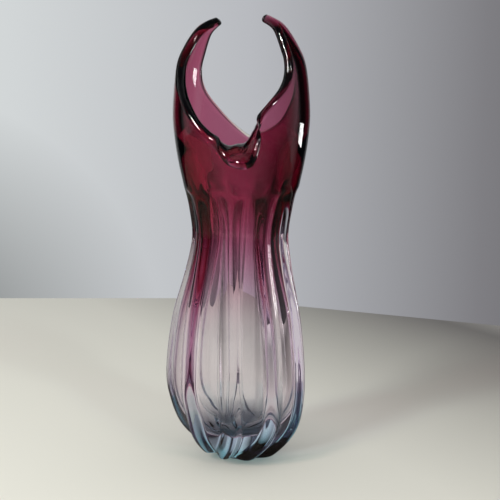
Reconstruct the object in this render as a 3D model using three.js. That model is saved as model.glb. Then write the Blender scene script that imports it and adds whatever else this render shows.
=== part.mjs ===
// A tall blown-glass vase. A plum lining is cased in thick clear glass, a pale aqua gather is fused under
// it as the base, and nine ribs are laid down the outside. Two drawn-up horns face each other over a
// small folded lip at the front and a plain dip at the back.
//
// Lengths are millimetres, +Z is up, and the origin is the middle of the base on the table. The lip
// faces -Y. Angles go round the axis from the front, -Y, towards +X.
import * as THREE from 'three';
import { mergeVertices } from 'three/addons/utils/BufferGeometryUtils.js';

const { clamp, lerp, inverseLerp, smoothstep, degToRad } = THREE.MathUtils;
const full_turn = 2 * Math.PI;
const quarter_turn = full_turn / 4;

// The outside of the clear glass between the ribs.
const pad_radius = 14;
const foot_radius = 27;
const foot_rise = 8.5;
const belly_radius = 49.5;
const belly_height = 68;
const waist_radius = 34.5;
const waist_height = 172;
const shoulder_radius = 51.5;
const shoulder_height = 268;
const tip_radius = 21;
const tip_height = 336;
const belly_offset = -4;

// The hollow inside, and the walls round it.
const floor_height = 26;
const cavity_radius = 34.5;
const waist_wall = 13.3;
const rim_wall = 7.6;
const casing_rim_wall = 2.3;
const lining_floor_wall = 0.8;
const lining_fade_height = 90;
const lining_full_height = 200;
const fused_gap = 0.3;
const lining_wall = rim_wall - casing_rim_wall - fused_gap;

// The rim: two horns over two dips. The walls are drawn up from a level root ring. Each horn is slimmer
// than the full curve of its rim by two shares, one for each edge in the order of the turns.
const horn_turn = degToRad(74);
const horn_tip_turn = degToRad(-10);
const horn_draw_power = 1.5;
const horn_bend_height = 278;
const left_horn_slim_shares = [0.6, 0];
const right_horn_slim_shares = [0.6, 0.85];
const horn_slim_power = 2;
const dip_height = 240;
const dip_depth = 36;
const root_height = dip_height - dip_depth;
const collar_height = 4;
const lining_drop = collar_height + fused_gap;

// The lip is a tongue of the wall that is folded out and down: round an arc, then straight on. It tapers
// off to both sides, further on the left.
const lip_turn = degToRad(3);
const lip_left_half_turn = degToRad(48);
const lip_right_half_turn = degToRad(27);
const lip_taper_power = 2.5;
const lip_length = 26;
const lip_rise = 17;
const lip_rise_power = 3;
const lip_fold = degToRad(125);
const lip_hollow_radius = 3.5;

// The base gather is a cup round the lower end of the casing.
const seam_height = 46;
const seam_floor_height = 15;
const seam_lip_wall = 2.4;

// The ribs.
const rib_count = 9;
const rib_turn = degToRad(-5);
const rib_top_height = 211;
const rib_foot_rise = 3;
const rib_half_width = 8.4;
const rib_neck_half_width = 7;
const rib_height = 5;
const rib_neck_height = 3;
const rib_swirl = degToRad(-60);
const rib_swirl_height = 46;
const rib_swirl_power = 2.5;
const rib_lean = degToRad(-6);
const rib_back_shift = degToRad(-8);
const rib_end_share = 0.16;
const rib_blunt_share = 0.08;
const rib_fade_share = 0.25;
const rib_foot_share = 0.88;

// Steps of the faceted surfaces. Columns are a multiple of four, so that each horn tip has one.
const columns = 72;
const body_steps = 12;
const horn_steps = 11;
const floor_steps = 5;
const bead_steps = 4;
const rib_section_steps = 10;
const rib_length_steps = 24;
const search_steps = 40;

// Shares of the way from one named place to the next: first of the radius, then of the height.
const foot_to_belly_shares = [[0.62, 0.28], [0.91, 0.62]];
const belly_to_waist_shares = [[0.24, 0.4], [0.74, 0.74]];
const waist_to_shoulder_shares = [[0.18, 0.22], [0.51, 0.42], [0.78, 0.6], [0.95, 0.8]];
const shoulder_to_tip_shares = [[0.09, 0.43], [0.27, 0.66], [0.59, 0.89]];
const upper_wall_shares = [-0.15, -0.2, 0.2, 0.9, 1, 1, 1, 1.1, 1.2];
const floor_to_cavity_shares = [[0.44, 0.03], [0.76, 0.23], [0.95, 0.58]];
const rim_shares = [
  [0, 1], [0.12, 0.965], [0.195, 0.88], [0.245, 0.77], [0.285, 0.65], [0.34, 0.53],
  [0.43, 0.42], [0.56, 0.3], [0.71, 0.16], [0.86, 0.05], [1, 0],
];

function between(from, to, shares) {
  return shares.map(([radius, height]) => new THREE.Vector2(
    lerp(from.x, to.x, radius),
    lerp(from.y, to.y, height),
  ));
}

// The point beside a profile, at a distance square to it: outwards where the distance is positive.
// A profile that starts on the axis is level there.
function beside(profile, share, distance) {
  const point = profile.getPoint(share);
  const tangent = profile.getTangent(share);
  const normal = point.x === 0 ? new THREE.Vector2(0, -1) : new THREE.Vector2(tangent.y, -tangent.x);
  return point.addScaledVector(normal, distance);
}

// The share at which a profile reaches a height, found by halving.
function shareAtHeight(profile, height) {
  let low = 0;
  let high = 1;
  for (let halving = 0; halving < search_steps; halving++) {
    const middle = (low + high) / 2;
    if (profile.getPoint(middle).y < height) low = middle;
    else high = middle;
  }
  return (low + high) / 2;
}

// Profiles are radius over height. A station's share is the same on the skin and on the cavity.
const pad_edge = new THREE.Vector2(pad_radius, 0);
const foot = new THREE.Vector2(foot_radius, foot_rise);
const belly = new THREE.Vector2(belly_radius, belly_height);
const waist = new THREE.Vector2(waist_radius, waist_height);
const shoulder = new THREE.Vector2(shoulder_radius, shoulder_height);
const tip = new THREE.Vector2(tip_radius, tip_height);
const skin = new THREE.SplineCurve([
  pad_edge,
  foot,
  ...between(foot, belly, foot_to_belly_shares),
  belly,
  ...between(belly, waist, belly_to_waist_shares),
  waist,
  ...between(waist, shoulder, waist_to_shoulder_shares),
  shoulder,
  ...between(shoulder, tip, shoulder_to_tip_shares),
  tip,
]);
const last_station = skin.points.length - 1;
const waist_station = skin.points.indexOf(waist);
const belly_station = skin.points.indexOf(belly);

function makeCavity() {
  const cavity_floor = new THREE.Vector2(0, floor_height);
  const cavity_belly = new THREE.Vector2(cavity_radius, belly_height);
  const cavity_waist = new THREE.Vector2(waist_radius - waist_wall, waist_height);
  const lower = [
    cavity_floor,
    ...between(cavity_floor, cavity_belly, floor_to_cavity_shares),
    cavity_belly,
    ...between(cavity_belly, cavity_waist, belly_to_waist_shares),
    cavity_waist,
  ];
  const upper = upper_wall_shares.map((thinning, index) => {
    const station = waist_station + 1 + index;
    return beside(skin, station / last_station, -lerp(waist_wall, rim_wall, thinning));
  });
  return new THREE.SplineCurve([...lower, ...upper]);
}

const cavity = makeCavity();
const root_share = shareAtHeight(skin, root_height);

// The lining is blown thin at the floor and keeps its full wall from the neck up.
function liningWall(share) {
  const height = cavity.getPoint(share).y;
  const fade = clamp(inverseLerp(lining_fade_height, lining_full_height, height), 0, 1);
  return lerp(lining_floor_wall, lining_wall, fade * fade);
}

// The four surfaces of the walls, each a radius and a height for a share of the profile.
const skin_face = (share) => skin.getPoint(share);
const cavity_face = (share) => cavity.getPoint(share);
const lining_face = (share) => beside(cavity, share, liningWall(share));
const casing_face = (share) => beside(cavity, share, liningWall(share) + fused_gap);

// Puts a profile point at its turn round the axis. The belly lies a little to one side of the base.
function placed(point, turn) {
  const aside = smoothstep(point.y, 0, belly_height) - smoothstep(point.y, belly_height, root_height);
  const offset = belly_offset * aside;
  return new THREE.Vector3(point.x * Math.sin(turn) + offset, -point.x * Math.cos(turn), point.y);
}

// An angle from the middle of the lip, between minus and plus half a turn.
function fromLip(turn) {
  return Math.atan2(Math.sin(turn - lip_turn), Math.cos(turn - lip_turn));
}

// The rim as a curve unrolled flat, from a horn's tip down to the middle of a dip.
const rim_run = quarter_turn * shoulder_radius;
const rim_curve = new THREE.SplineCurve(rim_shares.map(([across, up]) => new THREE.Vector2(
  across * rim_run,
  lerp(dip_height, tip_height, up),
)));

// Where the rim is for one column: its turn, drawn in towards the horn, its share of the profile, and
// how much of the lip it has, with the place where its fold starts.
function rimAt(turn) {
  const from_horn = turn - horn_turn;
  const nearest = Math.round(from_horn / (2 * quarter_turn)) * 2 * quarter_turn;
  const offset = from_horn - nearest;
  const run = Math.min(Math.abs(offset) / quarter_turn, 1);
  const point = rim_curve.getPointAt(run);
  const on_left = Math.cos(nearest) < 0;
  const [before, after] = on_left ? left_horn_slim_shares : right_horn_slim_shares;
  const width = 1 - (offset < 0 ? before : after) * (1 - run) ** horn_slim_power;
  const lean = horn_tip_turn * smoothstep(point.y, horn_bend_height, tip_height);
  const drawn = horn_turn + nearest + Math.sign(offset) * point.x * width / shoulder_radius + lean;
  const from_lip = fromLip(drawn);
  const half_turn = from_lip < 0 ? lip_left_half_turn : lip_right_half_turn;
  const lip = (1 - smoothstep(Math.abs(from_lip), 0, half_turn)) ** lip_taper_power;
  const height = lerp(point.y, dip_height + lip_rise, lip ** lip_rise_power);
  const fold_height = height - lip_length * lip;
  const fold_radius = skin.getPoint(shareAtHeight(skin, fold_height)).x - rim_wall / 2;
  const fold = new THREE.Vector2(fold_radius, fold_height);
  return { turn: drawn, share: shareAtHeight(skin, height), lip, fold };
}

// Bends a profile point over the lip's fold.
function folded(point, lip, fold) {
  const run = point.y - fold.y;
  if (lip === 0 || run <= 0) return point;
  const radius = lip_hollow_radius + rim_wall / 2;
  const bend = Math.min(run / radius, lip_fold);
  const straight = run - bend * radius;
  const aside = point.x - fold.x;
  const out = radius * (1 - Math.cos(bend)) + aside * Math.cos(bend) + straight * Math.sin(bend);
  const up = radius * Math.sin(bend) - aside * Math.sin(bend) + straight * Math.cos(bend);
  return new THREE.Vector2(fold.x + out, fold.y + up);
}

// A point of a wall above the ribs: part of the way up its column, from the root ring to the rim.
function walled(face, up, turn) {
  const rim = rimAt(turn);
  const point = face(lerp(root_share, rim.share, up));
  const drawn = lerp(turn, rim.turn, up ** horn_draw_power);
  return placed(folded(point, rim.lip, rim.fold), drawn);
}

// The share of a column that lies a given length below the rim.
function belowRim(length, turn) {
  const column = walled(skin_face, 1, turn).distanceTo(walled(skin_face, 0, turn));
  return 1 - length / column;
}

// A point of the half-round bead that closes the rim, from its outer edge (0) to its inner edge (1).
function beaded(round, turn) {
  const outer = walled(skin_face, 1, turn);
  const inner = walled(cavity_face, 1, turn);
  const middle = outer.clone().add(inner).multiplyScalar(1 / 2);
  const across = outer.clone().sub(inner).multiplyScalar(1 / 2);
  const step = full_turn / columns / 4;
  const along = walled(skin_face, 1, turn + step).sub(walled(skin_face, 1, turn - step));
  const outward = across.clone().cross(along).normalize();
  const half_turn = Math.PI * round;
  return middle
    .addScaledVector(across, Math.cos(half_turn))
    .addScaledVector(outward, across.length() * Math.sin(half_turn));
}

function closed(geometry) {
  geometry.deleteAttribute('normal');
  geometry.deleteAttribute('uv');
  const merged = mergeVertices(geometry);
  merged.computeVertexNormals();
  return merged;
}

// Cuts each four-sided facet along the shorter diagonal that it has between the given places.
function cutShort(geometry, places) {
  const corner = (index) => new THREE.Vector3().fromBufferAttribute(places, index);
  const triangles = [];
  for (let start = 0; start < geometry.index.count; start += 6) {
    const [a, b, d, c] = [0, 1, 2, 3].map((offset) => geometry.index.getX(start + offset));
    const shorter = corner(a).distanceTo(corner(c)) < corner(b).distanceTo(corner(d));
    triangles.push(...(shorter ? [a, b, c, a, c, d] : [a, b, d, c, d, b]));
  }
  geometry.setIndex(triangles);
}

// A row of points round the axis: a function that gives its point for a turn, and the row on the seam
// beside it. Both sides of a seam share that row, so their facets are cut alike and stay clear.
function ring(place, seam = place) {
  return { place, seam };
}

// Turns rings into a closed body.
function turned(rings) {
  const outline = rings.map(({ place }) => {
    const point = place(0);
    return new THREE.Vector2(Math.hypot(point.x, point.y), point.z);
  });
  const geometry = new THREE.LatheGeometry(outline, columns);
  const position = geometry.getAttribute('position');
  const seam_places = position.clone();
  for (let column = 0; column <= columns; column++) {
    const turn = horn_turn + (column % columns) * full_turn / columns;
    rings.forEach(({ place, seam }, index) => {
      const point = place(turn);
      const seam_point = seam(turn);
      position.setXYZ(column * rings.length + index, point.x, point.y, point.z);
      seam_places.setXYZ(column * rings.length + index, seam_point.x, seam_point.y, seam_point.z);
    });
  }
  cutShort(geometry, seam_places);
  return closed(geometry);
}

// Shares from one end of a stretch to the other, both included.
function steps(count, from = 0, to = 1) {
  return Array.from({ length: count + 1 }, (_, index) => lerp(from, to, index / count));
}

// The casing is thin at the rim, so both its faces are cut like the lining's outer face.
function seamFace(face) {
  return face === cavity_face ? cavity_face : lining_face;
}

function bodyRings(face, from, to, count) {
  return steps(count, from, to).map((share) => ring(
    (turn) => placed(face(share), turn),
    (turn) => placed(seamFace(face)(share), turn),
  ));
}

// A ring of the upper wall, part of the way up each column.
function wallRing(face, upAt) {
  return ring(
    (turn) => walled(face, upAt(turn), turn),
    (turn) => walled(seamFace(face), upAt(turn), turn),
  );
}

// Rings up to one that lies a given length below the rim.
function hornRings(face, below_rim) {
  return steps(horn_steps).slice(1).map((up) => (
    wallRing(face, (turn) => up * belowRim(below_rim, turn))
  ));
}

const seam_share = shareAtHeight(skin, seam_height);
const seam_radius = skin.getPoint(seam_share).x - seam_lip_wall;

// The bowl-shaped seam between the casing and the base gather, raised by a clearance.
function seamRings(clearance) {
  return steps(floor_steps).map((share) => ring((turn) => placed(new THREE.Vector2(
    (seam_radius - clearance) * Math.sin(share * quarter_turn),
    seam_height - (seam_height - seam_floor_height - clearance) * Math.cos(share * quarter_turn),
  ), turn)));
}

function makeLining() {
  return turned([
    ...bodyRings(lining_face, 0, root_share, body_steps),
    ...hornRings(lining_face, lining_drop),
    ...hornRings(cavity_face, lining_drop).reverse(),
    ...bodyRings(cavity_face, 0, root_share, body_steps).reverse(),
  ]);
}

function makeCasing() {
  const bead = steps(bead_steps).slice(1, -1).map((round) => ring((turn) => beaded(round, turn)));
  return turned([
    ...seamRings(fused_gap),
    ...bodyRings(skin_face, seam_share, root_share, body_steps),
    ...hornRings(skin_face, 0),
    ...bead,
    wallRing(cavity_face, () => 1),
    wallRing(cavity_face, (turn) => belowRim(collar_height, turn)),
    wallRing(casing_face, (turn) => belowRim(collar_height, turn)),
    ...hornRings(casing_face, lining_drop).reverse(),
    ...bodyRings(casing_face, 0, root_share, body_steps).reverse(),
  ]);
}

function makeBase() {
  return turned([
    ring(() => new THREE.Vector3(0, 0, 0)),
    ...bodyRings(skin_face, 0, seam_share, floor_steps),
    ...seamRings(0).reverse(),
  ]);
}

// One rib: a unit cylinder bent down the skin, round above and flat against the glass below.
function makeRib(turn) {
  const geometry = new THREE.CylinderGeometry(1, 1, 1, rib_section_steps, rib_length_steps);
  const position = geometry.getAttribute('position');
  const top_share = shareAtHeight(skin, rib_top_height);
  const foot_share = shareAtHeight(skin, rib_foot_rise);
  const swirl_share = shareAtHeight(skin, rib_swirl_height);
  for (let index = 0; index < position.count; index++) {
    const down = 1 / 2 - position.getY(index);
    const share = lerp(top_share, foot_share, down);
    const neck = smoothstep(share * last_station, belly_station, waist_station);
    const foot_end = Math.sqrt(1 - smoothstep(down, rib_foot_share, 1));
    const wide = lerp(rib_end_share, 1, Math.sqrt(smoothstep(down, 0, rib_blunt_share)) * foot_end);
    const high = lerp(rib_end_share, 1, smoothstep(down, 0, rib_fade_share) * foot_end);
    const across = position.getX(index) * wide * lerp(rib_half_width, rib_neck_half_width, neck);
    const proud = Math.max(position.getZ(index), 0) * high * lerp(rib_height, rib_neck_height, neck);
    const swirl = rib_swirl * Math.max(1 - share / swirl_share, 0) ** rib_swirl_power;
    const point = beside(skin, share, fused_gap + proud);
    const place = placed(point, turn + swirl + rib_lean * neck + across / skin.getPoint(share).x);
    position.setXYZ(index, place.x, place.y, Math.max(place.z, 0));
  }
  return closed(geometry);
}

function glass(color) {
  return new THREE.MeshStandardMaterial({
    color,
    roughness: 0.03,
    metalness: 0,
    transparent: true,
    opacity: 0.5,
  });
}

const vase = new THREE.Group();

function add(name, geometry, material) {
  const mesh = new THREE.Mesh(geometry, material);
  mesh.name = name;
  vase.add(mesh);
}

add('amethyst_lining', makeLining(), glass('#8b3f62'));
add('clear_casing', makeCasing(), glass('#dfe6e8'));
add('base_gather', makeBase(), glass('#7fb2bd'));
for (let rib = 0; rib < rib_count; rib++) {
  const even = rib * full_turn / rib_count;
  const shift = rib_back_shift * (1 - Math.cos(even)) / 2;
  add(`rib_${rib + 1}`, makeRib(rib_turn + even + shift), glass('#cfdde0'));
}

export default vase;
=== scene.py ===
# %% [markdown]
# # A cased glass vase, piece by piece
# The real vase is blown from three gathers of hot glass: a plum lining, a thick clear casing and a pale
# aqua base, with ribs down the outside and a rim drawn up into two horns. This lesson dresses the packed
# CAD model. It gives each piece its real surface and finish, and it moves nothing.
#
# Lengths are written in millimetres and turned to metres where a mesh is finished.

import functools
import math

import bmesh
import bpy
import numpy as np
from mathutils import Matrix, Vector


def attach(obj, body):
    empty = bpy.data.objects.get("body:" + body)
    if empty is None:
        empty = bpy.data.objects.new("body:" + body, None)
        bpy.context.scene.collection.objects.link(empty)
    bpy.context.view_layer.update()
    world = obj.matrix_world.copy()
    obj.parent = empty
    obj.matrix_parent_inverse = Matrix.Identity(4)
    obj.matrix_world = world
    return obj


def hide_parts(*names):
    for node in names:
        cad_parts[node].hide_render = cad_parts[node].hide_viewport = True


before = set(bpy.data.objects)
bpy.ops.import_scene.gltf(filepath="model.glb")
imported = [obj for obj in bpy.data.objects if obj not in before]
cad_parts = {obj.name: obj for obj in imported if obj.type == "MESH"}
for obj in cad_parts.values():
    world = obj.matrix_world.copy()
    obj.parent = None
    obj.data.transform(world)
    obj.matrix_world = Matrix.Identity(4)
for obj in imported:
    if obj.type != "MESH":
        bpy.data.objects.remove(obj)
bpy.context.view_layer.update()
MM = 0.001
print("CAD nodes:", sorted(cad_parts))

# %% [markdown]
# ## Small helpers
# Blending between two values comes up everywhere in a shape that is drawn out by hand: `lerp` blends in a
# straight line, and `ease` blends softly between two marks, level at both ends.

# %% Number helpers
def clamp(value, low=0.0, high=1.0):
    return max(low, min(high, value))


def lerp(start, end, share):
    return start + (end - start) * share


def ease(value, low, high):
    share = clamp((value - low) / (high - low))
    return share * share * (3 - 2 * share)


print("a quarter of the way from 0 to 1, straight and soft:", lerp(0, 1, 0.25), ease(0.25, 0, 1))

# %% [markdown]
# ## Curves
# The outline of blown glass has no corners, so a few well placed points with a smooth curve through them
# are enough. It could be a curve object with handles, but then the handles would have to be moved by hand
# whenever a size changes. Here a curve is a list of points, and a share from 0 to 1 says how far along it
# a place is.

# %% Curve helpers
CURVE_STEP = 1e-4
HALVINGS = 30


def between(start, end, shares):
    """Points given as shares of the way out and of the way up from one place to another."""
    return [Vector((lerp(start[0], end[0], r), lerp(start[1], end[1], h))) for r, h in shares]


def spline(points, share):
    """A point of the smooth curve through points, for a share of the way along it."""
    span = clamp(share) * (len(points) - 1)
    index = min(int(span), len(points) - 2)
    t = span - index
    before, here = points[max(index - 1, 0)], points[index]
    there, after = points[index + 1], points[min(index + 2, len(points) - 1)]
    leave, arrive = (there - before) / 2, (after - here) / 2
    cubic = 2 * here - 2 * there + leave + arrive
    square = -3 * here + 3 * there - 2 * leave - arrive
    return cubic * t**3 + square * t**2 + leave * t + here


def beside(points, share, distance):
    """A point square to the curve at that share, outwards where distance is positive."""
    along = spline(points, share + CURVE_STEP) - spline(points, share - CURVE_STEP)
    if share <= 0 and points[0].x == 0:
        along = Vector((1, 0))
    return spline(points, share) + Vector((along.y, -along.x)).normalized() * distance


def share_at(points, height):
    """The share at which a curve that climbs reaches a height, by halving."""
    low, high = 0.0, 1.0
    for _ in range(HALVINGS):
        middle = (low + high) / 2
        if spline(points, middle).y < height:
            low = middle
        else:
            high = middle
    return (low + high) / 2


print("a line from 0 to 10 passes 4 at", round(share_at([Vector((0, 0)), Vector((0, 10))], 4), 3))

# %% [markdown]
# ## The profile of the vase
# A blown vase starts as a body of revolution on the iron, so its shape is first one outline: a smooth
# curve through a few named places, each a radius and a height. They are the ground pad, the foot, the
# belly, the waist, the shoulder and the horn tips. The points between them are shares of the way.

# %% Outline of the outside
PAD_RADIUS = 14
FOOT = (27, 8.5)
BELLY = (49.5, 68)
WAIST = (34.5, 172)
SHOULDER = (51.5, 268)
TIP = (21, 336)
BELLY_TO_WAIST = [(0.24, 0.4), (0.74, 0.74)]
SKIN = [
    Vector((PAD_RADIUS, 0)),
    Vector(FOOT),
    *between(FOOT, BELLY, [(0.62, 0.28), (0.91, 0.62)]),
    Vector(BELLY),
    *between(BELLY, WAIST, BELLY_TO_WAIST),
    Vector(WAIST),
    *between(WAIST, SHOULDER, [(0.18, 0.22), (0.51, 0.42), (0.78, 0.6), (0.95, 0.8)]),
    Vector(SHOULDER),
    *between(SHOULDER, TIP, [(0.09, 0.43), (0.27, 0.66), (0.59, 0.89)]),
    Vector(TIP),
]
LAST = len(SKIN) - 1
BELLY_STATION = SKIN.index(Vector(BELLY))
WAIST_STATION = SKIN.index(Vector(WAIST))
print("outline stations:", len(SKIN), "height", SKIN[-1].y, "mm")

# %% [markdown]
# ## The hollow
# One thickness for the whole wall would be simpler, but the real wall is 13 mm at the waist and 8 mm at the
# rim, and that shows in the bands of light in the glass. So the hollow has an outline of its own, with a
# station for each station of the outside. Up to the waist it runs through named places too, and above the
# waist each station lies a wall's thickness inside the skin.

# %% Outline of the hollow
FLOOR_HEIGHT = 26
CAVITY_RADIUS = 34.5
WAIST_WALL = 13.3
RIM_WALL = 7.6
UPPER_WALL_SHARES = [-0.15, -0.2, 0.2, 0.9, 1, 1, 1, 1.1, 1.2]

cavity_floor = Vector((0, FLOOR_HEIGHT))
cavity_belly = Vector((CAVITY_RADIUS, BELLY[1]))
cavity_waist = Vector((WAIST[0] - WAIST_WALL, WAIST[1]))
CAVITY = [
    cavity_floor,
    *between(cavity_floor, cavity_belly, [(0.44, 0.03), (0.76, 0.23), (0.95, 0.58)]),
    cavity_belly,
    *between(cavity_belly, cavity_waist, BELLY_TO_WAIST),
    cavity_waist,
]
for step, share in enumerate(UPPER_WALL_SHARES, 1):
    wall = lerp(WAIST_WALL, RIM_WALL, share)
    CAVITY.append(beside(SKIN, (WAIST_STATION + step) / LAST, -wall))
print("hollow:", 2 * CAVITY_RADIUS, "mm wide at the belly,", round(2 * cavity_waist.x), "mm at the waist")

# %% [markdown]
# ## The drawn rim
# Two horns rise left and right of the rim and lean towards each other, over a dip at the front with a
# small folded lip in it and a plain dip at the back. The rim is one curve from a horn's tip down to the
# middle of a dip, used four times. It is measured in many short steps, so that the columns of the mesh can
# be spaced evenly along it, also where it runs steeply.

# %% The rim from a horn to a dip
QUARTER = math.pi / 2
DIP_HEIGHT = 240
RIM_SHARES = [
    (0, 1), (0.12, 0.965), (0.195, 0.88), (0.245, 0.77), (0.285, 0.65), (0.34, 0.53),
    (0.43, 0.42), (0.56, 0.3), (0.71, 0.16), (0.86, 0.05), (1, 0),
]
RIM = [Vector((a * QUARTER * SHOULDER[0], lerp(DIP_HEIGHT, TIP[1], u))) for a, u in RIM_SHARES]
RIM_SAMPLES = 400
rim_points = [spline(RIM, i / RIM_SAMPLES) for i in range(RIM_SAMPLES + 1)]
rim_lengths = np.cumsum([0, *((b - a).length for a, b in zip(rim_points, rim_points[1:]))])
print("rim length of a quarter:", round(float(rim_lengths[-1])), "mm")

# %% [markdown]
# ## The folded lip
# The lip is a tongue of the wall that was pulled out and folded down while it was hot. It could be a piece
# of its own, but then its edges would show. So the wall itself is bent: round an arc, then straight on.
# How much of the fold a column gets is one in the middle of the lip and falls to nothing at its sides,
# further out on the left.

# %% The lip
LIP_TURN = math.radians(3)
LIP_HALF_TURNS = math.radians(48), math.radians(27)
LIP_TAPER = 2.5
LIP_LENGTH = 26
LIP_TOP = 257
LIP_FOLD = math.radians(125)
LIP_HOLLOW_RADIUS = 3.5
LIP_LEAST = 1e-3


def wrapped(turn):
    """An angle brought back between minus and plus half a turn."""
    return math.atan2(math.sin(turn), math.cos(turn))


def lip_share(turn):
    """One in the middle of the lip, falling to nothing at its left and right ends."""
    aside = wrapped(turn - LIP_TURN)
    return (1 - ease(abs(aside), 0, LIP_HALF_TURNS[aside > 0])) ** LIP_TAPER


def folded(point, lip, fold):
    """Bends a profile point of the upper wall over the lip's fold: round an arc, then straight on."""
    run = point.y - fold.y
    if lip < LIP_LEAST or run <= 0:
        return point
    radius = LIP_HOLLOW_RADIUS + RIM_WALL / 2
    bend = min(run / radius, LIP_FOLD)
    straight = run - bend * radius
    aside = point.x - fold.x
    return Vector((
        fold.x + radius * (1 - math.cos(bend)) + aside * math.cos(bend) + straight * math.sin(bend),
        fold.y + radius * math.sin(bend) - aside * math.sin(bend) + straight * math.cos(bend),
    ))


print("lip:", LIP_LENGTH, "mm long, folded by", round(math.degrees(LIP_FOLD)), "degrees")

# %% [markdown]
# ## One column of the wall
# Hot glass that is pulled up drags the wall below with it. So every column of the wall follows its own
# place on the rim, more and more towards the top. Each edge of a horn may be slimmer than the rim's curve,
# as the maker's pull left it, and the tips lean round the axis a little. The belly sits a few millimetres
# to the left of the foot, because glass that is blown by hand is never quite true.

# %% Where the rim is for one column
HORN_TURN = math.radians(74)
HORN_TIP_TURN = math.radians(-10)
HORN_BEND_HEIGHT = 278
LEFT_SLIM, RIGHT_SLIM = (0.6, 0), (0.6, 0.85)
SLIM_POWER = 2
ROOT_HEIGHT = 204
BELLY_OFFSET = -4


def placed(point, turn):
    """A profile point at its turn round the axis. The belly sits a little aside."""
    aside = ease(point.y, 0, BELLY[1]) - ease(point.y, BELLY[1], ROOT_HEIGHT)
    across = point.x * math.sin(turn) + BELLY_OFFSET * aside
    return Vector((across, -point.x * math.cos(turn), max(point.y, 0)))


@functools.cache
def rim_at(turn):
    """Where the rim is for one column: its turn, drawn towards the horn, its share, and its lip's fold."""
    from_horn = turn - HORN_TURN
    nearest = round(from_horn / (2 * QUARTER)) * 2 * QUARTER
    offset = from_horn - nearest
    run = abs(offset) / QUARTER
    place = np.interp(run * rim_lengths[-1], rim_lengths, range(RIM_SAMPLES + 1)) / RIM_SAMPLES
    point = spline(RIM, place)
    slim = (RIGHT_SLIM if nearest == 0 else LEFT_SLIM)[offset > 0]
    width = 1 - slim * (1 - run) ** SLIM_POWER
    lean = HORN_TIP_TURN * ease(point.y, HORN_BEND_HEIGHT, TIP[1])
    drawn = HORN_TURN + nearest + math.copysign(point.x * width / SHOULDER[0], offset) + lean
    lip = lip_share(drawn)
    height = lerp(point.y, LIP_TOP, lip**3)
    fold_height = height - LIP_LENGTH * lip
    fold_radius = spline(SKIN, share_at(SKIN, fold_height)).x - RIM_WALL / 2
    return drawn, share_at(SKIN, height), lip, Vector((fold_radius, fold_height))


print("the right horn's tip is at a turn of", round(math.degrees(rim_at(HORN_TURN)[0])), "degrees")

# %% [markdown]
# ## Ribs and flutes
# Nine ribs stand up from the casing, with a flute between each two. They may have been laid on hot, or left
# standing where an optic mould pressed the flutes in, and either way they are one with the casing. Under
# the belly they were twisted while the foot was worked, and they end as toes beside the pad. At the
# shoulder each flute closes in a pointed arch, where the ribs widen until they meet. Towards the back
# they sit a few degrees off the even pitch.
#
# A formula for the height of the surface suits this better here than nine separate ribs, because light
# finds no border between a rib and the glass it is part of.

# %% The height of the ribs
RIB_COUNT = 9
RIB_TURN = math.radians(-5)
RIB_LEAN = math.radians(-6)
RIB_HALF_WIDTH = (8.4, 7)
RIB_HEIGHT = (5, 3)
RIB_ROUNDNESS = 1.25
RIB_SWIRL = math.radians(-60)
RIB_SWIRL_HEIGHT = 46
RIB_SWIRL_POWER = 2.5
RIB_BACK_SHIFT = math.radians(-8)
ARCH_FOOT, ARCH_TOP = 176, 209
FLUTE_FULL, FLUTE_END = 201, 211
CREST_END = 236
TOE_END, TOE_FULL = 1, 9
SWIRL_SHARE = share_at(SKIN, RIB_SWIRL_HEIGHT)
PITCH = 2 * math.pi / RIB_COUNT


def rib_height(share, height, turn):
    """How far the ribbed surface stands off the skin at one place, in mm."""
    neck = ease(share * LAST, BELLY_STATION, WAIST_STATION)
    swirl = RIB_SWIRL * clamp(1 - share / SWIRL_SHARE) ** RIB_SWIRL_POWER
    even = turn - RIB_TURN - swirl - RIB_LEAN * neck
    off = (even - RIB_BACK_SHIFT * (1 - math.cos(even)) / 2) / PITCH
    radius = spline(SKIN, share).x
    across = abs(off - round(off)) * PITCH * radius
    crest = lerp(*RIB_HEIGHT, neck) * (1 - ease(height, ARCH_FOOT, CREST_END))
    flute = lerp(*RIB_HEIGHT, neck) * (1 - ease(height, FLUTE_FULL, FLUTE_END))
    arch = clamp((height - ARCH_FOOT) / (ARCH_TOP - ARCH_FOOT)) ** 2
    half = lerp(lerp(*RIB_HALF_WIDTH, neck), PITCH / 2 * radius, arch)
    toe = ease(height, TOE_END, TOE_FULL)
    rise = clamp(1 - (across / half) ** 2) ** RIB_ROUNDNESS
    return (crest - flute * (1 - rise)) * toe


print("rib pitch:", round(math.degrees(PITCH)), "degrees")

# %% [markdown]
# ## Spinning a blown body
# `bmesh.ops.spin` turns a wire of vertices round the axis, as the blowpipe does. Each vertex of the wire
# carries its row number on a vertex layer, and the spin copies it to the whole ring. So after the spin
# every vertex knows its row and its turn, and one pass moves it to where the tools pulled the glass.

# %% Spin and reshape
COLUMNS = 240
WELD_DISTANCE = 1e-5


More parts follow.
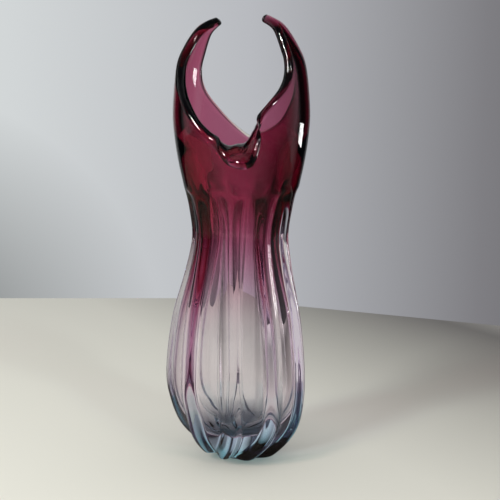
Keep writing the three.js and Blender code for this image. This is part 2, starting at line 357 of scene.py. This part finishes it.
def spun(name, rows, columns=COLUMNS):
    """A closed body from rows, each a function that gives a place in mm for a turn round the axis."""
    bm = bmesh.new()
    layer = bm.verts.layers.int.new("row")
    wire = []
    for index, row in enumerate(rows):
        start = row(0)
        radius = math.hypot(start.x, start.y)
        pole = index in (0, len(rows) - 1)
        vert = bm.verts.new((0 if pole else radius, 0, index))
        vert[layer] = index
        wire.append(vert)
    edges = [bm.edges.new(pair) for pair in zip(wire, wire[1:])]
    bmesh.ops.spin(
        bm, geom=wire + edges, cent=(0, 0, 0), axis=(0, 0, 1),
        angle=2 * math.pi, steps=columns, use_merge=True,
    )
    bmesh.ops.remove_doubles(bm, verts=bm.verts[:], dist=WELD_DISTANCE)
    for vert in bm.verts:
        turn = math.atan2(vert.co.x, -vert.co.y)
        step = round(turn / (2 * math.pi) * columns)
        vert.co = rows[vert[layer]](step * 2 * math.pi / columns) * MM
    if bm.calc_volume(signed=True) < 0:
        bmesh.ops.reverse_faces(bm, faces=bm.faces[:])
    for face in bm.faces:
        face.smooth = True
    volume = bm.calc_volume(signed=True)
    mesh = bpy.data.meshes.new(name)
    bm.to_mesh(mesh)
    bm.free()
    piece = bpy.data.objects.new(name, mesh)
    bpy.context.scene.collection.objects.link(piece)
    print(f"{name}: {len(mesh.polygons)} faces, {volume * 1e6:.0f} cm3")
    return piece


print("columns round the axis:", COLUMNS)

# %% [markdown]
# ## Points of the walls
# Below the root ring a wall is its outline, spun. Above it each column climbs from the root ring to its own
# place on the rim, turning and bending on the way. A face is a function of a share and a turn, so the
# same code draws the ribbed skin, the hollow and, later on, both sides of the plum layer. The rim itself
# is a half-round bead, because fire polishing melts every sharp edge.

# %% Faces, walls and the bead
HORN_DRAW = 1.5
ROOT_SHARE = share_at(SKIN, ROOT_HEIGHT)


def skin_point(share, turn):
    return beside(SKIN, share, rib_height(share, spline(SKIN, share).y, turn))


def cavity_point(share, turn):
    return spline(CAVITY, share)


def wall_point(face, up, turn):
    """A point of the upper wall: part of the way up its column, from the root ring to the rim."""
    rim_turn, rim_share, lip, fold = rim_at(turn)
    drawn = lerp(turn, rim_turn, up**HORN_DRAW)
    point = face(lerp(ROOT_SHARE, rim_share, up), turn)
    return placed(folded(point, lip, fold), drawn)


def bead_point(outside, inside, share, turn):
    """The fire-polished rim: half round, from its outer edge (0) to its inner edge (1)."""
    outer, inner = wall_point(outside, 1, turn), wall_point(inside, 1, turn)
    middle, across = (outer + inner) / 2, (outer - inner) / 2
    step = math.pi / 2 / COLUMNS
    along = wall_point(skin_point, 1, turn + step) - wall_point(skin_point, 1, turn - step)
    outward = across.cross(along).normalized()
    angle = math.pi * share
    return middle + across * math.cos(angle) + outward * (across.length * math.sin(angle))


print("the rim is", round(wall_point(skin_point, 1, HORN_TURN).z), "mm up at the right horn")

# %% [markdown]
# ## Rows
# A body is spun from rows, from the bottom up on the outside and down again on the inside. Three small
# functions write them: rows of the body below the root ring, rows of the horns above it, and rows of the
# bead that joins the two faces at the rim.

# %% Row helpers
def shares(count, start=0.0, end=1.0):
    return [lerp(start, end, i / count) for i in range(count + 1)]


def body_rows(face, start, end, count):
    return [lambda turn, s=s: placed(face(s, turn), turn) for s in shares(count, start, end)]


def horn_rows(face, count):
    """Rows above the root ring, up to the rim."""
    return [lambda turn, up=up: wall_point(face, up, turn) for up in shares(count)[1:]]


def bead_rows(outside, inside, count):
    return [lambda turn, s=s: bead_point(outside, inside, s, turn) for s in shares(count)[1:-1]]


print("four rows would be at", shares(3))

# %% [markdown]
# ## The clear glass
# Clear casing, ribs and base are fused hot, so light meets no border between them. Separate bodies with a
# thin gap of air would show as mirrors. So one closed body has the outside with its ribs, the rounded rim
# and the hollow inside, and the coloured layers lie within it.

# %% The body of clear glass
BODY_ROWS, HORN_ROWS, BEAD_ROWS = 110, 64, 12
PAD_RING_SHARES = (0.5, 0.9)


def pad_row(share):
    """A flat ring of the ground pad."""
    radius = PAD_RADIUS * share
    return lambda turn: Vector((radius * math.sin(turn), -radius * math.cos(turn), 0))


glass_rows = [
    pad_row(0),
    *[pad_row(share) for share in PAD_RING_SHARES],
    *body_rows(skin_point, 0, ROOT_SHARE, BODY_ROWS),
    *horn_rows(skin_point, HORN_ROWS),
    *bead_rows(skin_point, cavity_point, BEAD_ROWS),
    *horn_rows(cavity_point, HORN_ROWS // 2)[::-1],
    *body_rows(cavity_point, 0, ROOT_SHARE, BODY_ROWS // 2)[::-1],
]
glass_body = spun("glass_body", glass_rows)

# %% [markdown]
# ## The plum layer
# The first gather is plum glass. It is thickest at the rim and fades to nothing towards the base, because
# the gather was blown out there. The fade could be painted as a colour gradient, but then the glass would
# not darken where the eye looks along the wall. So it is a closed shell just inside the wall of the
# hollow, with a wall that thins out downwards.

# %% Rows of the plum layer
LAYER_GAP = 0.06
PLUM_WALL = 5.3
PLUM_FLOOR_WALL = 0.1
PLUM_FADE = (90, 200)


def plum_wall(share):
    fade = clamp((spline(CAVITY, share).y - PLUM_FADE[0]) / (PLUM_FADE[1] - PLUM_FADE[0]))
    return lerp(PLUM_FLOOR_WALL, PLUM_WALL, fade**2)


def plum_inner(share, turn):
    return beside(CAVITY, share, LAYER_GAP)


def plum_outer(share, turn):
    return beside(CAVITY, share, LAYER_GAP + plum_wall(share))


plum_rows = [
    *body_rows(plum_outer, 0, ROOT_SHARE, BODY_ROWS // 2),
    *horn_rows(plum_outer, HORN_ROWS // 2),
    *bead_rows(plum_outer, plum_inner, BEAD_ROWS // 2),
    *horn_rows(plum_inner, HORN_ROWS // 2)[::-1],
    *body_rows(plum_inner, 0, ROOT_SHARE, BODY_ROWS // 2)[::-1],
]
plum_layer = spun("plum_layer", plum_rows, COLUMNS // 2)

# %% [markdown]
# ## The aqua base
# The last gather is a cup of pale aqua glass under the casing. Its skin lies just inside the ribbed outside
# and its seam is bowl-shaped, as a gather sits round the end of a bubble, so a quarter of an ellipse draws
# it.

# %% Rows of the aqua base
SEAM_HEIGHT = 46
SEAM_FLOOR_HEIGHT = 15
SEAM_LIP = 2.4
AQUA_INSET = 0.4
AQUA_ROWS, SEAM_ROWS = 40, 16
SEAM_SHARE = share_at(SKIN, SEAM_HEIGHT)
SEAM_RADIUS = spline(SKIN, SEAM_SHARE).x - SEAM_LIP


def aqua_outer(share, turn):
    point = beside(SKIN, share, rib_height(share, spline(SKIN, share).y, turn) - AQUA_INSET)
    return Vector((point.x, max(point.y, AQUA_INSET)))


def seam_point(share, turn):
    angle = share * QUARTER
    drop = (SEAM_HEIGHT - SEAM_FLOOR_HEIGHT) * math.cos(angle)
    return Vector((SEAM_RADIUS * math.sin(angle), SEAM_HEIGHT - drop))


aqua_rows = [
    lambda turn: Vector((0, 0, AQUA_INSET)),
    *body_rows(aqua_outer, 0, SEAM_SHARE, AQUA_ROWS),
    *body_rows(seam_point, 0, 1, SEAM_ROWS)[::-1],
]
aqua_base = spun("aqua_base", aqua_rows)

# %% [markdown]
# ## Colours and nodes
# Colours are written as sRGB hex, as a colour chart gives them, but a shader works with linear light, so
# one function turns them. Node trees could be joined by hand in the editor. Written down they stay
# readable, because one small function adds a node with its settings and says what goes into each input.

# %% Colour and node helpers
MIX_A, MIX_B, MIX_RESULT = 6, 7, 2  # a Mix node's sockets for colours
ONCE = 0.5  # a ray's depth of one kind is over this once it has met that kind of surface


def linear(hex_colour):
    """A colour as linear red, green, blue and alpha from its sRGB hex value."""
    channels = [int(hex_colour[i:i + 2], 16) / 255 for i in (1, 3, 5)]
    return [c / 12.92 if c <= 0.04045 else ((c + 0.055) / 1.055) ** 2.4 for c in channels] + [1]


def add_node(tree, kind, settings=None, inputs=None):
    """Adds a node. An input, by name or number, takes a value or is linked to another node's output."""
    node = tree.nodes.new(kind)
    for name, value in (settings or {}).items():
        setattr(node, name, value)
    for name, value in (inputs or {}).items():
        if isinstance(value, bpy.types.NodeSocket):
            tree.links.new(value, node.inputs[name])
        else:
            node.inputs[name].default_value = value
    return node


def set_stops(ramp, stops):
    """Gives a colour ramp its stops, each a position and a linear colour, with both ends among them."""
    elements = ramp.color_ramp.elements
    elements[0].position, elements[0].color = stops[0]
    elements[1].position, elements[1].color = stops[-1]
    for position, colour in stops[1:-1]:
        elements.new(position).color = colour


def new_material(name):
    material = bpy.data.materials.new(name)
    material.use_nodes = True
    material.node_tree.nodes.clear()
    return material, material.node_tree


print("the grey #808080 in linear light:", round(linear("#808080")[0], 3))

# %% [markdown]
# ## How glass takes light
# Soda glass with a fire-polished skin bends light with an IOR of 1.5 and has no roughness that the eye
# could see. Its colour could be a tint on the surface, but a real gather is coloured through and through,
# so the colour comes from absorption along the way, and thick places are deeper in colour than thin ones.
# For rays from lamps the glass is see-through, because a lamp's light would otherwise stop at it, and the
# real vase throws only a faint shadow.

# %% A material for glass
def absorbing(red, green, blue):
    """The colour and density of an absorption, from how much of each colour a millimetre takes."""
    most = max(red, green, blue)
    return [1 - red / most, 1 - green / most, 1 - blue / most, 1], most / MM


def glass(name, ior, taken, lamp_tint, waves=None):
    """Glass that colours light by depth. Waves are the size and height in mm of its uneven skin."""
    material, tree = new_material(name)
    body = add_node(tree, "ShaderNodeBsdfPrincipled", inputs={
        "Base Color": linear("#ffffff"), "Roughness": 0.0, "IOR": ior, "Transmission Weight": 1.0,
    })
    if waves:
        size, height = waves
        place = add_node(tree, "ShaderNodeTexCoord")
        noise = add_node(tree, "ShaderNodeTexNoise", inputs={
            "Vector": place.outputs["Object"], "Scale": 1 / (size * MM), "Detail": 1.0,
        })
        bump = add_node(tree, "ShaderNodeBump", inputs={
            "Strength": 1.0, "Distance": height * MM, "Height": noise.outputs["Fac"],
        })
        tree.links.new(bump.outputs["Normal"], body.inputs["Normal"])
    path = add_node(tree, "ShaderNodeLightPath")
    clear = add_node(tree, "ShaderNodeBsdfTransparent", inputs={"Color": linear(lamp_tint)})
    surface = add_node(tree, "ShaderNodeMixShader", inputs={
        "Fac": path.outputs["Is Shadow Ray"], 1: body.outputs[0], 2: clear.outputs[0],
    })
    colour, density = absorbing(*taken)
    depth = add_node(tree, "ShaderNodeVolumeAbsorption", inputs={"Color": colour, "Density": density})
    add_node(tree, "ShaderNodeOutputMaterial", inputs={
        "Surface": surface.outputs[0], "Volume": depth.outputs[0],
    })
    print(f"{name}: IOR {ior}, absorption {density:.0f} per metre at most")
    return material


# %% [markdown]
# ## Clear, plum and aqua glass
# Three glasses make the vase. Light doesn't bend at a fused border between two of them, so the coloured
# layers, which lie inside the clear body, get an IOR of 1 and only take colour out of the light.

# %% The three glasses
# Soda glass, blown and fire polished. The skin has no grain, so edges and reflections are sharp, and the
# slow waves of hand work make them swim a little. In thick places it has a faint grey-green cast.
clear_glass = glass("Clear soda glass, fire polished", 1.5, (0.0022, 0.0030, 0.0012), "#f4f6f6",
                    waves=(16, 0.02))
# Soda glass coloured plum in the pot and fused under the casing. It takes green most of all, so thin glass
# looks pink, and the thick rim looks almost black.
plum_glass = glass("Plum soda glass, fused", 1.0, (0.100, 0.330, 0.240), "#eeeaec")
# Soda glass with a trace of blue-green, fused over the foot. It is pale, so the eye meets its colour only
# at the edges, where the way through it is long.
aqua_glass = glass("Aqua soda glass, fused", 1.0, (0.016, 0.0045, 0.0045), "#f2f6f6")

# %% [markdown]
# ## Handing the pieces to the frame
# Each piece gets its material and is tied to the vase's one body, and the CAD nodes that it stands for are
# hidden. The clear body stands for the casing and all nine ribs.

# %% Bodies, materials and replaced nodes
for piece, material, slot, nodes in (
    (glass_body, clear_glass, "clear_glass", ["clear_casing", *(f"rib_{i + 1}" for i in range(RIB_COUNT))]),
    (plum_layer, plum_glass, "amethyst_glass", ["amethyst_lining"]),
    (aqua_base, aqua_glass, "aqua_glass", ["base_gather"]),
):
    piece.data.materials.append(material)
    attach(piece, "root")
    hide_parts(*nodes)
    print(piece.name, "replaces", len(nodes), "CAD nodes")

# %% [markdown]
# ## Table top
# The vase stands on a matt cream table in front of a plain wall. The table could be a floor without end,
# but its far edge shows behind the vase and bends in the glass. So it is a real plane with two far edges,
# and the corner between them is hidden by the vase.

# %% The table's mesh
TABLE_CORNER, TABLE_RIGHT_EDGE = Vector((-44, 687, 0)), Vector((322, 490, 0))
TABLE_NEAR, TABLE_SIDE = -1600, 2000
TABLE_DROP = 0.3

along_edge = (TABLE_RIGHT_EDGE - TABLE_CORNER) / (TABLE_RIGHT_EDGE.x - TABLE_CORNER.x)
bm = bmesh.new()
corners = [
    bm.verts.new(point * MM) for point in (
        TABLE_CORNER,
        Vector((-TABLE_SIDE, TABLE_CORNER.y, 0)),
        Vector((-TABLE_SIDE, TABLE_NEAR, 0)),
        Vector((TABLE_SIDE, TABLE_NEAR, 0)),
        TABLE_CORNER + along_edge * (TABLE_SIDE - TABLE_CORNER.x),
    )
]
bm.faces.new(corners)
table_mesh = bpy.data.meshes.new("table_top")
bm.to_mesh(table_mesh)
bm.free()
table = bpy.data.objects.new("table_top", table_mesh)
bpy.context.scene.collection.objects.link(table)
table.location.z = -TABLE_DROP * MM
print("table corners:", len(table_mesh.vertices), "far corner at", TABLE_CORNER.y, "mm")

# %% [markdown]
# ## Table finish, with painted light and shade
# Laminate with a matt cream face: no pattern, and a soft sheen that only shows at a low angle. Light and
# shade are painted into its colour: paler towards the window at the front left and darker towards the far
# right, and one slanting fade draws that.
#
# Two more painted shades are for the glass alone. Where the glass mirrors the table, its colour is
# darkened, a painted shade for a room that is darker on the camera's side. Close round the foot its colour
# is darkened where it is seen through the glass, a painted shadow for the little light that comes in under
# a heavy base.

# %% Cream laminate with painted light and shade
FADE_SLANT = 2.0
FADE_NEAR, FADE_FAR = -1.2, 2.0  # in metres, as Object coordinates are
# Painted light and shade: cream at the front left, a dark painted band towards the far right, then cream
# again.
TABLE_PAINTED_FADE = [(0, "#e8e6da"), (0.44, "#cdcbc1"), (0.7, "#6b6865"), (0.85, "#c4c1ba"), (1, "#c4c1ba")]
# Painted shadow round the foot, seen only through the glass: where it ends and where it is full, in mm.
FOOT_SHADE_END, FOOT_SHADE_FULL = 100, 30

laminate, tree = new_material("Cream laminate, matt, painted light and shade")
place = add_node(tree, "ShaderNodeTexCoord")
axes = add_node(tree, "ShaderNodeSeparateXYZ", inputs={"Vector": place.outputs["Object"]})
slant = add_node(tree, "ShaderNodeMath", {"operation": "MULTIPLY_ADD"},
                 {0: axes.outputs["X"], 1: FADE_SLANT, 2: axes.outputs["Y"]})
fade = add_node(tree, "ShaderNodeMapRange",
                inputs={"Value": slant.outputs[0], "From Min": FADE_NEAR, "From Max": FADE_FAR})
cream_and_painted_light = add_node(tree, "ShaderNodeValToRGB", inputs={"Fac": fade.outputs[0]})
set_stops(cream_and_painted_light, [(position, linear(colour)) for position, colour in TABLE_PAINTED_FADE])

path = add_node(tree, "ShaderNodeLightPath")
thrown_back = add_node(tree, "ShaderNodeMath", {"operation": "GREATER_THAN"},
                       {0: path.outputs["Glossy Depth"], 1: ONCE})
outside = add_node(tree, "ShaderNodeMath", {"operation": "LESS_THAN"},
                   {0: path.outputs["Transmission Depth"], 1: ONCE})
mirrored = add_node(tree, "ShaderNodeMath", {"operation": "MULTIPLY"},
                    {0: thrown_back.outputs[0], 1: outside.outputs[0]})
# Painted shade: the table's colour is darkened where the glass mirrors it.
dimmed = add_node(tree, "ShaderNodeMix", {"data_type": "RGBA", "blend_type": "MULTIPLY"},
                  {"Factor": mirrored.outputs[0], MIX_A: cream_and_painted_light.outputs["Color"], MIX_B: linear("#8a8078")})

# Painted shadow: the table's colour is darkened close round the foot, where it is seen through the glass.
reach = add_node(tree, "ShaderNodeVectorMath", {"operation": "LENGTH"}, {0: place.outputs["Object"]})
near_foot = add_node(tree, "ShaderNodeMapRange", inputs={
    "Value": reach.outputs["Value"], "From Min": FOOT_SHADE_END * MM, "From Max": FOOT_SHADE_FULL * MM,
})
through = add_node(tree, "ShaderNodeMath", {"operation": "SUBTRACT"}, {0: 1.0, 1: outside.outputs[0]})
under = add_node(tree, "ShaderNodeMath", {"operation": "MULTIPLY"},
                 {0: near_foot.outputs[0], 1: through.outputs[0]})
covered = add_node(tree, "ShaderNodeMix", {"data_type": "RGBA", "blend_type": "MULTIPLY"}, {
    "Factor": under.outputs[0], MIX_A: dimmed.outputs[MIX_RESULT], MIX_B: linear("#8e8692"),
})
top = add_node(tree, "ShaderNodeBsdfPrincipled",
               inputs={"Base Color": covered.outputs[MIX_RESULT], "Roughness": 0.55})
add_node(tree, "ShaderNodeOutputMaterial", inputs={"Surface": top.outputs[0]})
table_mesh.materials.append(laminate)
print("laminate:", len(tree.nodes), "nodes")

# %% [markdown]
# ## Wall
# The wall is a plain painted one, so the world's colour can stand for it, and no mesh is needed. Light
# falls on it from the left, so it goes from pale to grey across the picture, and the corner at the lower
# left lies in a soft shade. It goes on all round, so that the vase has a pale background from every side.

# %% Wall, by direction
WALL_END = "#c0c2c3"
WALL_LIGHT = [(-70, "#c8cacb"), (-15, "#d3d7d8"), (0, "#b8babf"), (15, "#7a797d"), (70, "#b0b2b4")]
WALL_CORNER = (math.radians(-22), -0.24, 0)
WALL_CORNER_END, WALL_CORNER_FULL = 0.29, 0.1


def round_stops(stops, end):
    """Stops at turns in degrees from straight ahead, for a ramp that goes once round the room."""
    return [(0, end), *((0.5 + degrees / 360, colour) for degrees, colour in stops), (1, end)]


world = bpy.data.worlds.new("Wall and room")
bpy.context.scene.world = world
world.use_nodes = True
tree = world.node_tree
tree.nodes.clear()
place = add_node(tree, "ShaderNodeTexCoord")
axes = add_node(tree, "ShaderNodeSeparateXYZ", inputs={"Vector": place.outputs["Generated"]})
turn = add_node(tree, "ShaderNodeMath", {"operation": "ARCTAN2"},
                {0: axes.outputs["X"], 1: axes.outputs["Y"]})
round_room = add_node(tree, "ShaderNodeMapRange",
                      inputs={"Value": turn.outputs[0], "From Min": -math.pi, "From Max": math.pi})
light = add_node(tree, "ShaderNodeValToRGB", inputs={"Fac": round_room.outputs[0]})
set_stops(light, round_stops([(d, linear(colour)) for d, colour in WALL_LIGHT], linear(WALL_END)))

spot = add_node(tree, "ShaderNodeCombineXYZ", inputs={"X": turn.outputs[0], "Y": axes.outputs["Z"]})
from_corner = add_node(tree, "ShaderNodeVectorMath", {"operation": "DISTANCE"},
                       {0: spot.outputs[0], 1: WALL_CORNER})
corner = add_node(tree, "ShaderNodeMapRange", inputs={
    "Value": from_corner.outputs["Value"], "From Min": WALL_CORNER_END, "From Max": WALL_CORNER_FULL,
})
wall = add_node(tree, "ShaderNodeMix", {"data_type": "RGBA", "blend_type": "MULTIPLY"},
                {"Factor": corner.outputs[0], MIX_A: light.outputs["Color"], MIX_B: linear("#aaaaaa")})
print("wall:", len(tree.nodes), "nodes")

# %% [markdown]
# ## The room that the glass finds
# A thick glass edge sends the eye far round the room, and what it finds there makes the black outlines of
# real glass. A camera ray only ever sees the wall. By way of the glass the room is dark left and right of
# the wall, and a ray that is thrown back towards the camera's side meets a dim room. Rays that gather
# light for matt surfaces get one soft even light instead, so that the table is lit plainly.

# %% Dark sides, dim room and soft light
SIDES = [(-80, 0), (-60, 1), (-40, 1), (-17, 0), (17, 0), (32, 1), (62, 1), (80, 0)]
FRONT_BLEND = 0.25
SOFT_LIGHT = 0.88

path = add_node(tree, "ShaderNodeLightPath")
sides = add_node(tree, "ShaderNodeValToRGB", inputs={"Fac": round_room.outputs[0]})
set_stops(sides, round_stops([(d, [dark, dark, dark, 1]) for d, dark in SIDES], [0, 0, 0, 1]))
by_glass = add_node(tree, "ShaderNodeMath", {"operation": "SUBTRACT"},
                    {0: 1.0, 1: path.outputs["Is Camera Ray"]})
side_share = add_node(tree, "ShaderNodeMath", {"operation": "MULTIPLY"},
                      {0: sides.outputs["Color"], 1: by_glass.outputs[0]})
room = add_node(tree, "ShaderNodeMix", {"data_type": "RGBA"}, {
    "Factor": side_share.outputs[0], MIX_A: wall.outputs[MIX_RESULT], MIX_B: linear("#16161a"),
})

thrown_back = add_node(tree, "ShaderNodeMath", {"operation": "GREATER_THAN"},
                       {0: path.outputs["Glossy Depth"], 1: ONCE})
in_front = add_node(tree, "ShaderNodeMapRange",
                    inputs={"Value": axes.outputs["Y"], "From Min": FRONT_BLEND, "From Max": -FRONT_BLEND})
front_share = add_node(tree, "ShaderNodeMath", {"operation": "MULTIPLY"},
                       {0: thrown_back.outputs[0], 1: in_front.outputs[0]})
wall_light = add_node(tree, "ShaderNodeBackground",
                      inputs={"Color": room.outputs[MIX_RESULT], "Strength": 1.0})
room_light = add_node(tree, "ShaderNodeBackground", inputs={"Color": linear("#4c4a52"), "Strength": 1.0})
soft_light = add_node(tree, "ShaderNodeBackground",
                      inputs={"Color": linear("#e4e5e4"), "Strength": SOFT_LIGHT})
seen = add_node(tree, "ShaderNodeMixShader", inputs={
    "Fac": front_share.outputs[0], 1: wall_light.outputs[0], 2: room_light.outputs[0],
})
spread = add_node(tree, "ShaderNodeMixShader", inputs={
    "Fac": path.outputs["Is Diffuse Ray"], 1: seen.outputs[0], 2: soft_light.outputs[0],
})
add_node(tree, "ShaderNodeOutputWorld", inputs={"Surface": spread.outputs[0]})
print("wall and room:", len(tree.nodes), "nodes")

# %% [markdown]
# ## Lamps
# Most of the light comes from the world. Three soft lamps add the highlights that make glass look wet: a
# tall window at the front left, a small one at the front right, and a weak one behind the right that lights
# the right horn's edge. A lamp that could be seen through the glass would be a hard white patch in it, so
# the lamps show only where the glass mirrors them.

# %% Studio lamps
def softbox(name, place, aim, size, power):
    """A square area lamp in mm at a place, turned towards a point, with its power in watts."""
    data = bpy.data.lights.new(name, "AREA")
    data.shape = "RECTANGLE"
    data.size, data.size_y = size[0] * MM, size[1] * MM
    data.energy = power
    lamp = bpy.data.objects.new(name, data)
    lamp.location = Vector(place) * MM
    lamp.rotation_euler = (Vector(aim) - Vector(place)).to_track_quat("-Z", "Y").to_euler()
    lamp.visible_transmission = False
    bpy.context.scene.collection.objects.link(lamp)
    print(f"{name}: {power} W, {size[0]} by {size[1]} mm")


softbox("window_left", (-900, -900, 1100), (0, 0, 150), (220, 360), 15)
softbox("lamp_right", (700, -1000, 900), (0, 0, 150), (100, 240), 5)
softbox("lamp_side", (977, 554, 142), (43, -20, 250), (260, 120), 0.9)

# %% [markdown]
# ## Camera
# The photograph was taken from about 0.7 m in front and 0.25 m above the table, looking 7 degrees down. The
# focal length is in pixels of the picture, because that is how it can be measured.

# %% Camera at the photograph's angle
CAMERA_PLACE = (6.4, -700, 250)
CAMERA_PITCH = math.radians(7.24)
FOCAL_PIXELS, FRAME_PIXELS = 922.5, 500

camera_data = bpy.data.cameras.new("camera")
camera_data.sensor_width = 36
camera_data.lens = camera_data.sensor_width * FOCAL_PIXELS / FRAME_PIXELS
camera = bpy.data.objects.new("camera", camera_data)
camera.location = Vector(CAMERA_PLACE) * MM
camera.rotation_euler = (QUARTER - CAMERA_PITCH, 0, 0)
bpy.context.scene.collection.objects.link(camera)
bpy.context.scene.camera = camera
bpy.context.scene.view_settings.view_transform = "Standard"
print("lens:", round(camera_data.lens, 1), "mm")

# %% [markdown]
# ## Light paths
# A ray crosses a dozen surfaces or more on its way through the vase. With the usual number of bounces it
# would give up inside and leave black patches, so it gets 40. Light that the glass gathers on the table
# would come out as grain and as patches of strong colour, so refractive caustics are off.

# %% Bounces
PATH_BOUNCES, MIRROR_BOUNCES = 40, 20
cycles = bpy.context.scene.cycles
cycles.max_bounces = cycles.transmission_bounces = cycles.transparent_max_bounces = PATH_BOUNCES
cycles.glossy_bounces = MIRROR_BOUNCES
cycles.caustics_refractive = False
print("bounces:", cycles.max_bounces, "in all,", cycles.glossy_bounces, "of them mirrored")
